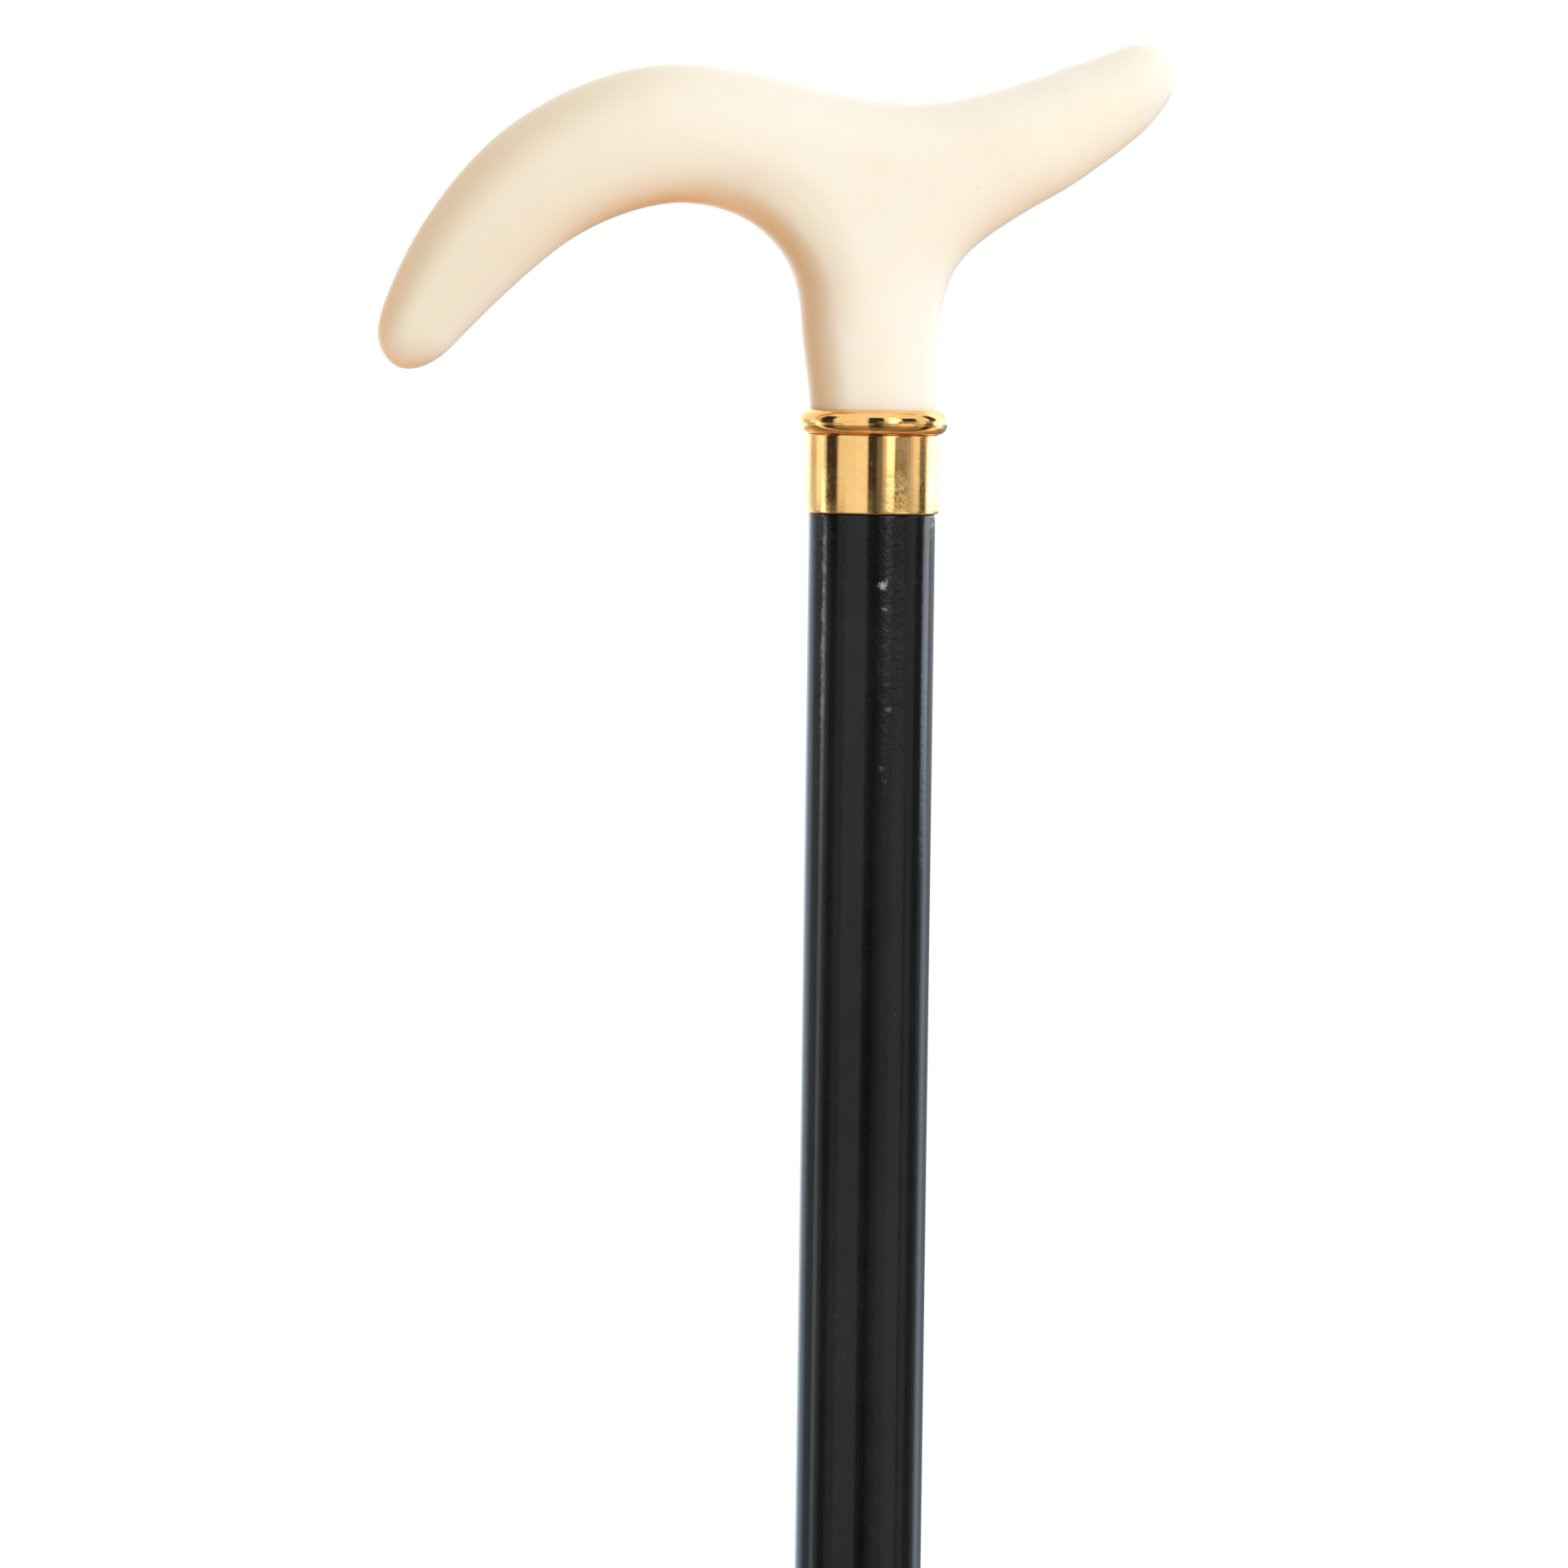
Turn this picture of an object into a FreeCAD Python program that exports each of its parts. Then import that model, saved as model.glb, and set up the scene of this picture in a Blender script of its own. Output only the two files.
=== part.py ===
"""A walking stick: a derby handle of cast resin, a gilt brass collar, a black lacquered shaft and
a rubber ferrule.

Millimetres, +Z up. The origin is the middle of the ferrule's sole, on the ground, and the shaft
stands on the Z axis. The handle lies in the XZ plane, its long nose towards -X and its short
upturned tail towards +X.
"""
import FreeCAD, Part
import math
import os

os.makedirs("parts", exist_ok=True)
Vector = FreeCAD.Vector

# The whole stick
stick_height = 915.0        # ground to the highest point of the handle
shaft_d = 20.0              # the part of the shaft that is in the hand's reach
shaft_tip_d = 17.9          # the turned seat of the ferrule
shaft_straight = 260.0      # the upper stretch of the shaft, before it starts to taper
shaft_shoulder_round = 0.3
shaft_tip_chamfer = 1.0

# The handle, seen from the side
handle_rise = 58.0          # top of the collar to the tip of the tail
nose_reach = 78.0           # shaft axis to the front of the nose
tail_reach = 46.8           # shaft axis to the end of the tail
neck_d = 19.8               # round foot of the neck, on the collar
saddle_half = 11.4          # half the thickness over the shaft, where the palm rests

# The collar
sleeve_d = 20.9
sleeve_height = 12.4
sleeve_wall = 0.75
sleeve_edge = 0.25          # bevel on both rims of the sleeve
bead_d = 23.5
bead_height = 3.9
bead_edge = 1.45            # radius on both outer edges of the bead
glue_clear = 0.05           # radial room for glue between turned pieces
glue_line = 0.2             # thickness of glue between end faces

# The joint inside the collar
spigot_length = 8.0         # the part of the handle that stands in the collar
stud_d = 8.0
stud_chamfer = 1.0
stud_handle_depth = 22.0    # how far the stud reaches above the collar
stud_shaft_depth = 42.0     # how far the stud reaches below the spigot
stud_end_room = 3.0         # empty bore beyond each end of the stud
bush_d = 12.0
bush_length = 20.0
bush_rim = 0.5              # bevel on the ends of the bushes
thread_clear = 0.05         # radial room between the stud and the bushes

# The ferrule
ferrule_height = 44.0
ferrule_sole_d = 34.0
ferrule_sole_band = 6.0     # height of the upright edge of the sole
ferrule_waist_z = 15.0      # where the flare meets the tube
ferrule_waist_d = 24.6
ferrule_mouth_d = 23.2
ferrule_floor = 9.0         # rubber below the washer
ferrule_clear = 0.05        # radial room on the shaft's tip
ferrule_lip = 0.9           # how far the rolled rim stands out from the tube
ferrule_lip_height = 3.6
ferrule_lip_round = 0.7
ferrule_edge = 1.2          # radius round the sole
washer_thick = 1.5
washer_clear = 0.2
tread_depth = 1.6
tread_width = 2.0
tread_groove_shares = (0.36, 0.66)   # inner radius of each groove, in shares of the sole's radius

# Where the handle's outline turns. Each row is x, z, heading in degrees, pace. On the nose and the
# tail x is a share of the reach on that side, and on the neck a share of its foot's radius. z is a
# share of the rise. The pace says how far the curve holds on to its heading. The last row of a
# nose or tail is its tip, where the curve ends in a quarter round.
nose_top_shares = (
    (-0.396, 0.929, 178.0, 1.07),
    (-0.787, 0.703, 224.5, 1.23),
    (-0.992, 0.257, 252.0, 1.06),
    (-0.968, 0.104, 325.5, 0.0),
)
nose_under_shares = (
    (-0.390, 0.552, 180.0, 0.64),
    (-0.637, 0.426, 218.0, 0.75),
    (-0.850, 0.155, 227.0, 0.91),
    (-0.968, 0.104, 145.5, 0.0),
)
tail_top_shares = (
    (0.274, 0.843, 13.0, 0.95),
    (0.603, 0.924, 23.0, 1.03),
    (0.810, 0.986, 24.5, 1.42),
    (0.998, 0.917, 273.0, 0.0),
)
tail_under_shares = (
    (0.481, 0.529, 32.0, 1.14),
    (0.716, 0.647, 36.5, 1.06),
    (0.927, 0.791, 54.0, 0.74),
    (0.998, 0.917, 93.0, 0.0),
)
neck_left_shares = (
    (-1.00, 0.0, 95.0, 1.10),
    (-1.17, 0.25, 92.0, 0.88),
)
neck_right_shares = (
    (1.00, 0.0, 86.0, 0.60),
    (1.06, 0.245, 83.5, 0.70),
)
# Half the thickness at each of those turns in shares of saddle_half, and how fast it shrinks there
nose_half_shares = ((1.0, 0.0), (0.91, -0.07), (0.68, -0.13), (0.0, 0.0))
tail_half_shares = ((1.0, 0.0), (0.85, -0.16), (0.65, -0.22), (0.0, 0.0))
neck_slope_share = 0.10
ridge_fan = 6.0             # degrees between two ridges where they part

# A quarter of a circle as a cubic curve, and as a rational quadratic one
ROUND_SHARE = 4 / 3 * math.tan(math.pi / 8)
QUARTER_WEIGHT = math.sqrt(0.5)

# Heights that follow from the sizes above
collar_top = stick_height - handle_rise
bead_bottom = collar_top - bead_height
collar_bottom = bead_bottom - sleeve_height
spigot_bottom = collar_top - spigot_length
tenon_top = spigot_bottom - glue_line
shaft_tip_z = ferrule_floor + washer_thick
collar_bore_r = sleeve_d / 2 - sleeve_wall
stud_top = collar_top + stud_handle_depth
stud_bottom = tenon_top - stud_shaft_depth


def step(name, shape):
    """Write one piece, and say what it is."""
    shape.exportStep("parts/" + name + ".step")
    box = shape.BoundBox
    print(name, "solids", len(shape.Solids), "valid", shape.isValid(), "volume", round(shape.Volume, 1),
          "z", round(box.ZMin, 2), round(box.ZMax, 2))


def cylinder(diameter, bottom, top):
    return Part.makeCylinder(diameter / 2, top - bottom, Vector(0, 0, bottom))


def turned(profile):
    """Revolve a closed profile of (radius, z) points about the shaft's axis."""
    points = [Vector(r, 0, z) for r, z in profile]
    face = Part.Face(Part.makePolygon(points + points[:1]))
    return face.revolve(Vector(0, 0, 0), Vector(0, 0, 1), 360)


def rim_edges(shape, radius, z):
    """The round edges of a turned piece at one radius and height."""
    near = glue_clear / 2
    found = []
    for edge in shape.Edges:
        curve = edge.Curve
        if isinstance(curve, Part.Circle) and abs(curve.Radius - radius) < near and abs(curve.Center.z - z) < near:
            found.append(edge)
    return found


def node_at(row, x_size):
    """A turn of the outline as its place and its pull, the direction times the pace."""
    x_share, z_share, heading, pace = row
    angle = math.radians(heading)
    place = Vector(x_share * x_size, 0, z_share * handle_rise)
    return place, Vector(math.cos(angle), 0, math.sin(angle)) * pace


def cubic(start, pull_out, end, pull_in, span):
    """The four poles of a cubic curve that leaves and arrives with the given pulls."""
    return [start, start + pull_out * (span / 3), end - pull_in * (span / 3), end]


def rounded_end(start, pull_out, span, tip, heading, half):
    """The four poles of a curve that rounds the tip and arrives there at the given heading."""
    angle = math.radians(heading)
    along = Vector(math.cos(angle), 0, math.sin(angle))
    return [start, start + pull_out * (span / 3), tip - along * (half * ROUND_SHARE), tip]


def mean(first, second):
    return [(a + b) * 0.5 for a, b in zip(first, second)]


def turned_by(vector, degrees):
    """Turn a vector in the XZ plane, x towards z."""
    angle = math.radians(degrees)
    c, s = math.cos(angle), math.sin(angle)
    return Vector(vector.x * c - vector.z * s, 0, vector.x * s + vector.z * c)


def quarter_skin(rim, ridge, half):
    """The skin between the outline and the ridge, a quarter of an ellipse at each place.

    rim and ridge are cubic curves in the XZ plane, half is the cubic of the half thickness.
    """
    poles = []
    for outer, inner, thick in zip(rim, ridge, half):
        side = Vector(0, thick, 0)
        poles.append([outer, outer + side, inner + side])
    weights = [[1.0, QUARTER_WEIGHT, 1.0]] * len(poles)
    skin = Part.BSplineSurface()
    skin.buildFromPolesMultsKnots(poles, [4, 4], [3, 3], [0, 1], [0, 1], False, False, 3, 2, weights)
    return skin.toShape()


def ridge_edge(ridge):
    """The edge of the flat cheek that lies along one ridge."""
    curve = Part.BezierCurve()
    curve.setPoles([pole + Vector(0, saddle_half, 0) for pole in ridge])
    return curve.toShape()


def limb_skins(top_rows, under_rows, half_rows, reach):
    """Both skins of the nose or of the tail, from the junction to the tip.

    Returns the skins, the middle of the limb at the junction and the pull there.
    """
    tops = [node_at(row, reach) for row in top_rows]
    unders = [node_at(row, reach) for row in under_rows]
    mids = [(a[0] + b[0]) * 0.5 for a, b in zip(tops, unders)]
    skins = []
    last = len(tops) - 2
    for i in range(last + 1):
        span = (mids[i + 1] - mids[i]).Length
        thick, next_thick = half_rows[i][0] * saddle_half, half_rows[i + 1][0] * saddle_half
        slope, next_slope = half_rows[i][1], half_rows[i + 1][1]
        if i < last:
            top = cubic(*tops[i], *tops[i + 1], span)
            under = cubic(*unders[i], *unders[i + 1], span)
            half = [thick, thick + slope * span / 3, next_thick - next_slope * span / 3, next_thick]
        else:
            span = span * math.pi / 2
            radius = (tops[i][0] - unders[i][0]).Length / 2
            tip = tops[i + 1][0]
            top = rounded_end(*tops[i], span, tip, top_rows[i + 1][2], radius)
            under = rounded_end(*unders[i], span, tip, under_rows[i + 1][2], radius)
            half = [thick, thick + slope * span / 3, thick * ROUND_SHARE, 0]
        spine = mean(top, under)
        skins.append(quarter_skin(top, spine, half))
        skins.append(quarter_skin(under, spine, half))
    return skins, mids[0], (tops[0][1] + unders[0][1]) * 0.5


def handle_half():
    """The skins of one half of the handle, on the side of +Y, open along y = 0."""
    neck_r = neck_d / 2
    nose, nose_mid, nose_pull = limb_skins(nose_top_shares, nose_under_shares, nose_half_shares, nose_reach)
    tail, tail_mid, tail_pull = limb_skins(tail_top_shares, tail_under_shares, tail_half_shares, tail_reach)
    nose_top = node_at(nose_top_shares[0], nose_reach)
    nose_under = node_at(nose_under_shares[0], nose_reach)
    tail_top = node_at(tail_top_shares[0], tail_reach)
    tail_under = node_at(tail_under_shares[0], tail_reach)

    left = [node_at(row, neck_r) for row in neck_left_shares]
    right = [node_at(row, neck_r) for row in neck_right_shares]
    neck_mid = (left[1][0] + right[1][0]) * 0.5
    neck_pull = (left[1][1] + right[1][1]) * 0.5
    neck_span = neck_mid.Length
    neck_left = cubic(*left[0], *left[1], neck_span)
    neck_right = cubic(*right[0], *right[1], neck_span)
    neck_half = [neck_r, neck_r * (1 + neck_slope_share), saddle_half, saddle_half]
    neck_spine = mean(neck_left, neck_right)
    skins = [quarter_skin(neck_left, neck_spine, neck_half), quarter_skin(neck_right, neck_spine, neck_half)]

    flat = [saddle_half] * 4
    to_nose = (nose_mid - neck_mid).Length
    to_tail = (tail_mid - neck_mid).Length
    across = (tail_mid - nose_mid).Length
    left_ridge = cubic(neck_mid, turned_by(neck_pull, ridge_fan),
                       nose_mid, turned_by(nose_pull, -ridge_fan), to_nose)
    right_ridge = cubic(neck_mid, turned_by(neck_pull, -ridge_fan),
                        tail_mid, turned_by(tail_pull, ridge_fan), to_tail)
    top_ridge = cubic(nose_mid, turned_by(nose_pull, ridge_fan) * -1,
                      tail_mid, turned_by(tail_pull, -ridge_fan), across)
    skins.append(quarter_skin(cubic(*left[1], *nose_under, to_nose), left_ridge, flat))
    skins.append(quarter_skin(cubic(*right[1], *tail_under, to_tail), right_ridge, flat))
    skins.append(quarter_skin(cubic(nose_top[0], nose_top[1] * -1, *tail_top, across), top_ridge, flat))
    cheek = Part.Wire(Part.sortEdges([ridge_edge(r) for r in (left_ridge, right_ridge, top_ridge)])[0])
    skins.append(Part.Face(cheek))
    return skins + nose + tail


def handle_blank():
    """The shaped handle, solid, with the foot of its neck at z = 0."""
    half = handle_half()
    other = [skin.mirror(Vector(0, 0, 0), Vector(0, 1, 0)) for skin in half]
    foot = Part.Face(Part.Wire(Part.makeCircle(neck_d / 2)))
    skin = Part.makeCompound(half + other + [foot])
    skin.sewShape()
    solid = Part.makeSolid(Part.Shell(skin.Faces))
    if solid.Volume < 0:
        solid.reverse()
    return solid


def handle():
    blank = handle_blank()
    blank.translate(Vector(0, 0, collar_top))
    spigot = cylinder(2 * (collar_bore_r - glue_clear), spigot_bottom, collar_top)
    bush_hole = cylinder(bush_d + 2 * glue_clear, spigot_bottom, spigot_bottom + bush_length)
    stud_hole = cylinder(stud_d + 2 * thread_clear, spigot_bottom, stud_top + stud_end_room)
    return blank.fuse(spigot).cut(bush_hole).cut(stud_hole)


def bush(bottom):
    """A brass bush, glued into its bore, that the stud screws into."""
    body = cylinder(bush_d, bottom, bottom + bush_length)
    ends = rim_edges(body, bush_d / 2, bottom) + rim_edges(body, bush_d / 2, bottom + bush_length)
    return body.makeChamfer(bush_rim, ends).cut(cylinder(stud_d + 2 * thread_clear, bottom, bottom + bush_length))


def joint_stud():
    body = cylinder(stud_d, stud_bottom, stud_top)
    ends = rim_edges(body, stud_d / 2, stud_bottom) + rim_edges(body, stud_d / 2, stud_top)
    return body.makeChamfer(stud_chamfer, ends)


def collar_bead():
    body = cylinder(bead_d, bead_bottom, collar_top).cut(cylinder(2 * collar_bore_r, bead_bottom, collar_top))
    outer = rim_edges(body, bead_d / 2, bead_bottom) + rim_edges(body, bead_d / 2, collar_top)
    return body.makeFillet(bead_edge, outer)


def collar_sleeve():
    body = cylinder(sleeve_d, collar_bottom, bead_bottom).cut(cylinder(2 * collar_bore_r, collar_bottom, bead_bottom))
    outer = rim_edges(body, sleeve_d / 2, collar_bottom) + rim_edges(body, sleeve_d / 2, bead_bottom)
    return body.makeChamfer(sleeve_edge, outer)


def shaft():
    """The shaft, with the ferrule's seat at its foot and a tenon that fills the lower collar."""
    radius, tip_r = shaft_d / 2, shaft_tip_d / 2
    tenon_r = collar_bore_r - glue_clear
    body = turned([
        (0, shaft_tip_z),
        (tip_r - shaft_tip_chamfer, shaft_tip_z),
        (tip_r, shaft_tip_z + shaft_tip_chamfer),
        (tip_r, ferrule_height),
        (radius, collar_bottom - shaft_straight),
        (radius, collar_bottom),
        (tenon_r, collar_bottom),
        (tenon_r, tenon_top),
        (0, tenon_top),
    ])
    body = body.makeFillet(shaft_shoulder_round, rim_edges(body, radius, collar_bottom))
    bush_hole = cylinder(bush_d + 2 * glue_clear, tenon_top - bush_length, tenon_top)
    stud_hole = cylinder(stud_d + 2 * thread_clear, stud_bottom - stud_end_room, tenon_top)
    return body.cut(bush_hole).cut(stud_hole)


def ferrule():
    """The rubber foot: a flared sole with ring treads, a tube and a rolled rim."""
    sole_r, waist_r, mouth_r = ferrule_sole_d / 2, ferrule_waist_d / 2, ferrule_mouth_d / 2
    lip_z = ferrule_height - ferrule_lip_height
    socket_r = shaft_tip_d / 2 + ferrule_clear
    body = turned([
        (0, 0),
        (sole_r, 0),
        (sole_r, ferrule_sole_band),
        (waist_r, ferrule_waist_z),
        (mouth_r, lip_z),
        (mouth_r + ferrule_lip, lip_z),
        (mouth_r + ferrule_lip, ferrule_height),
        (socket_r, ferrule_height),
        (socket_r, ferrule_floor),
        (0, ferrule_floor),
    ])
    rounds = rim_edges(body, sole_r, 0) + rim_edges(body, sole_r, ferrule_sole_band)
    body = body.makeFillet(ferrule_edge, rounds)
    body = body.makeFillet(ferrule_sole_band, rim_edges(body, waist_r, ferrule_waist_z))
    rim = rim_edges(body, mouth_r + ferrule_lip, lip_z) + rim_edges(body, mouth_r + ferrule_lip, ferrule_height)
    body = body.makeFillet(ferrule_lip_round, rim)
    for share in tread_groove_shares:
        inner = share * sole_r
        ring = cylinder(2 * (inner + tread_width), 0, tread_depth).cut(cylinder(2 * inner, 0, tread_depth))
        body = body.cut(ring)
    return body


def ferrule_washer():
    return cylinder(shaft_tip_d - 2 * washer_clear, ferrule_floor, shaft_tip_z)


step("handle", handle())
step("handle_bush", bush(spigot_bottom))
step("joint_stud", joint_stud())
step("shaft_bush", bush(tenon_top - bush_length))
step("collar_bead", collar_bead())
step("collar_sleeve", collar_sleeve())
step("shaft", shaft())
step("ferrule", ferrule())
step("ferrule_washer", ferrule_washer())
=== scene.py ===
# %% [markdown]
# A walking stick with a derby handle. The handle is cast in an ivory-coloured resin, the collar is
# gilt brass, the shaft is beech under black lacquer, and the foot is a rubber ferrule. The packed
# model gives every piece its place, and this file gives every piece its surface and its finish.

# %% Load the frame
import math

import bmesh
import bpy
import numpy as np
from mathutils import Matrix, Vector


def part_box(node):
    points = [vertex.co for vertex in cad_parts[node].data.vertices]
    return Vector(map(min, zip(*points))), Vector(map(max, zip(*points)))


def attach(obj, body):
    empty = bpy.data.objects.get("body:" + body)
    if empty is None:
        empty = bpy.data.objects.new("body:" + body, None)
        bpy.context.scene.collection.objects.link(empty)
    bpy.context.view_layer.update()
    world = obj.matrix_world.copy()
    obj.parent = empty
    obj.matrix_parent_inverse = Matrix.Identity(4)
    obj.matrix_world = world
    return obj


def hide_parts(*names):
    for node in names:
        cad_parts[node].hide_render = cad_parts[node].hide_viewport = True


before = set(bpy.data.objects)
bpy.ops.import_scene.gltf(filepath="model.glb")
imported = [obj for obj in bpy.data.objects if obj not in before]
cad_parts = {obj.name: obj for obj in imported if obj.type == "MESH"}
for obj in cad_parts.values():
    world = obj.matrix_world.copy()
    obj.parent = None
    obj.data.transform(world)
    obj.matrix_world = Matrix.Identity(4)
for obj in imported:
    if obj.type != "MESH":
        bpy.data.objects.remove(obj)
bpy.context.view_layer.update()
MM = 0.001

# %% [markdown]
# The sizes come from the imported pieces. A turned piece lies round the Z axis, so half the width of
# its box is its radius, and its lowest and highest corners are its two ends.

# %% Sizes from the frame
def ends(node):
    """The radius, the bottom and the top of a turned piece."""
    low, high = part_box(node)
    return (high[0] - low[0]) / 2, low[2], high[2]


bead_r, bead_bottom, collar_top = ends("collar_bead")
sleeve_r, collar_bottom, sleeve_top = ends("collar_sleeve")
shaft_r, shaft_bottom, tenon_top = ends("shaft")
ferrule_r, sole_z, ferrule_top = ends("ferrule")
bush_r, _, bush_top = ends("handle_bush")
_, shaft_bush_bottom, _ = ends("shaft_bush")
stud_r, stud_bottom, stud_top = ends("joint_stud")
_, washer_bottom, _ = ends("ferrule_washer")
spigot_bottom, handle_top = (corner[2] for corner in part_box("handle"))
SLEEVE_WALL = 0.75 * MM
GLUE = 0.05 * MM
STUD_END_ROOM = 3.0 * MM
bore_r = sleeve_r - SLEEVE_WALL
print("collar", round(collar_bottom, 4), round(collar_top, 4), "stick", round(handle_top, 4))

# %% [markdown]
# Two kinds of surface make this object. A turned piece is a profile carried round an axis, and the
# handle is a set of skins between curves. Both are grids of points, so one helper makes the mesh:
# it takes grids, joins the points that meet, and lets the faces look outwards.

# %% Grids into meshes
def grid_faces(rows, columns, first, closed):
    """Quads between neighbouring rows and columns: each corner number is row times columns plus column."""
    number = first + np.arange(rows * columns).reshape(rows, columns)
    if closed:
        number = np.hstack([number, number[:, :1]])
    corners = [number[:-1, :-1], number[:-1, 1:], number[1:, 1:], number[1:, :-1]]
    return np.stack(corners, axis=-1).reshape(-1, 4)


def mesh_from_grids(name, grids, weld=1e-7, sharp=math.radians(40)):
    """One object from several (grid, closed) pairs, with the doubles merged and the faces turned outwards."""
    points, faces, first = [], [], 0
    for grid, closed in grids:
        rows, columns = grid.shape[:2]
        points.append(grid.reshape(-1, 3))
        faces.append(grid_faces(rows, columns, first, closed))
        first += rows * columns
    mesh = bpy.data.meshes.new(name)
    mesh.from_pydata(np.vstack(points).tolist(), [], np.vstack(faces).tolist())
    shape = bmesh.new()
    shape.from_mesh(mesh)
    bmesh.ops.remove_doubles(shape, verts=shape.verts, dist=weld)
    bmesh.ops.dissolve_degenerate(shape, edges=shape.edges, dist=weld)
    bmesh.ops.recalc_face_normals(shape, faces=shape.faces)
    shape.to_mesh(mesh)
    open_edges = sum(len(edge.link_faces) != 2 for edge in shape.edges)
    shape.free()
    mesh.polygons.foreach_set("use_smooth", np.ones(len(mesh.polygons), bool))
    mesh.set_sharp_from_angle(angle=sharp)
    piece = bpy.data.objects.new(name, mesh)
    bpy.context.collection.objects.link(piece)
    print(name, "points", len(mesh.vertices), "faces", len(mesh.polygons), "open edges", open_edges)
    return piece


# %% [markdown]
# A lathe gives the bead, the sleeve, the shaft and the ferrule. The profile is drawn as the turner
# would cut it: straight runs, and arcs where an edge is broken. Each corner gets a small arc, because
# a real edge always catches a line of light, and a short guard point beside it keeps the long flat
# runs from shading towards the arc.

# %% Turned profiles
def rounded(corners, guard=0.25 * MM, steps=6):
    """A profile of (radius, z, round) corners. A corner with a round r is cut back by r times the
    tangent of half the turn on both sides, and an arc of that radius joins the cuts."""
    path = []
    for before, corner, after in zip(corners[:-2], corners[1:-1], corners[2:]):
        place, r = np.array(corner[:2]), corner[2]
        back, ahead = np.array(before[:2]) - place, np.array(after[:2]) - place
        room_back, room_ahead = np.linalg.norm(back) / 2, np.linalg.norm(ahead) / 2
        back, ahead = back / np.linalg.norm(back), ahead / np.linalg.norm(ahead)
        opening = math.acos(float(np.clip(back @ ahead, -1, 1)))
        cut = r / math.tan(opening / 2)
        middle = place + (back + ahead) / np.linalg.norm(back + ahead) * (r / math.sin(opening / 2))
        start = place + back * cut - middle
        side = np.array([-start[1], start[0]])
        turn = math.copysign(math.pi - opening, -(side @ back))
        angles = np.linspace(0, turn, steps + 1)[:, None]
        arc = middle + np.cos(angles) * start + np.sin(angles) * side
        if cut + guard < room_back:
            path.append((place + back * (cut + guard))[None])
        path.append(arc)
        if cut + guard < room_ahead:
            path.append((place + ahead * (cut + guard))[None])
    return np.vstack([[corners[0][:2]], *path, [corners[-1][:2]]])


def lathe(profile, segments):
    """Carry a (radius, z) profile round the Z axis: x is the radius times the cosine of the angle
    and y is the radius times its sine."""
    angle = np.arange(segments) / segments * 2 * math.pi
    radius, z = profile[:, :1], profile[:, 1:]
    return np.stack([radius * np.cos(angle), radius * np.sin(angle), z + 0 * angle], axis=-1)


def turned_piece(name, corners, segments=160, steps=6):
    """A closed ring or a solid of revolution from its corners, first and last corner meeting."""
    return mesh_from_grids(name, [(lathe(rounded(corners, steps=steps), segments), True)])


# %% [markdown]
# The collar is two pieces. The bead is a ring, turned and gilt, that the neck of the handle rests
# on, and the sleeve is a short tube soldered below it. Their edges are broken by a tenth of a
# millimetre or so, enough for the thin bright lines that a polished collar has.

# %% Bead and sleeve
BEAD_ROUND, RIM_ROUND, INNER_ROUND = 1.75 * MM, 0.22 * MM, 0.05 * MM


def tube(name, outer_r, bottom, top, outer_round, steps):
    """A ring of the collar: its bore, its two ends and its outside, with every edge broken."""
    middle = (bottom + top) / 2
    return turned_piece(name, [
        (bore_r, middle, 0),
        (bore_r, top, INNER_ROUND),
        (outer_r, top, outer_round),
        (outer_r, bottom, outer_round),
        (bore_r, bottom, INNER_ROUND),
        (bore_r, middle, 0),
    ], steps=steps)


bead = tube("gilt_bead", bead_r, bead_bottom, collar_top, BEAD_ROUND, 14)
sleeve = tube("gilt_sleeve", sleeve_r, collar_bottom, sleeve_top, RIM_ROUND, 6)
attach(bead, "stick")
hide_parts("collar_bead")
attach(sleeve, "stick")
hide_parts("collar_sleeve")

# %% [markdown]
# The shaft is turned from one length of beech: straight below the collar, then a slow taper, then a
# cylindrical seat for the ferrule. Its tenon and its bores lie inside the collar. The lacquer flows
# a little at the shoulder, so that edge is rounder than a cut one.

# %% Shaft
TIP_R = 8.95 * MM
TIP_CHAMFER = 1.0 * MM
STRAIGHT = 260 * MM
SEAT_ROUND, TAPER_ROUND, SHOULDER_ROUND = 0.5 * MM, 2.0 * MM, 0.3 * MM
tenon_r = bore_r - GLUE
bush_bore_r = bush_r + GLUE
stud_bore_r = stud_r + GLUE
shaft = turned_piece("lacquered_shaft", [
    (0, shaft_bottom, 0),
    (TIP_R - TIP_CHAMFER, shaft_bottom, INNER_ROUND),
    (TIP_R, shaft_bottom + TIP_CHAMFER, INNER_ROUND),
    (TIP_R, ferrule_top, SEAT_ROUND),
    (shaft_r, collar_bottom - STRAIGHT, TAPER_ROUND),
    (shaft_r, collar_bottom, SHOULDER_ROUND),
    (tenon_r, collar_bottom, INNER_ROUND),
    (tenon_r, tenon_top, INNER_ROUND),
    (bush_bore_r, tenon_top, INNER_ROUND),
    (bush_bore_r, shaft_bush_bottom, INNER_ROUND),
    (stud_bore_r, shaft_bush_bottom, INNER_ROUND),
    (stud_bore_r, stud_bottom - STUD_END_ROOM, INNER_ROUND),
    (0, stud_bottom - STUD_END_ROOM, 0),
], steps=4)
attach(shaft, "stick")
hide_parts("shaft")

# %% [markdown]
# The ferrule is moulded rubber: a flared sole, a tube that grips the shaft and a rolled rim. Three
# shallow rings round the tube give fingers a hold when it is pulled off, and ring treads under the
# sole grip the ground. It rides on its own body, because a worn one is pulled off and replaced.

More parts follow.
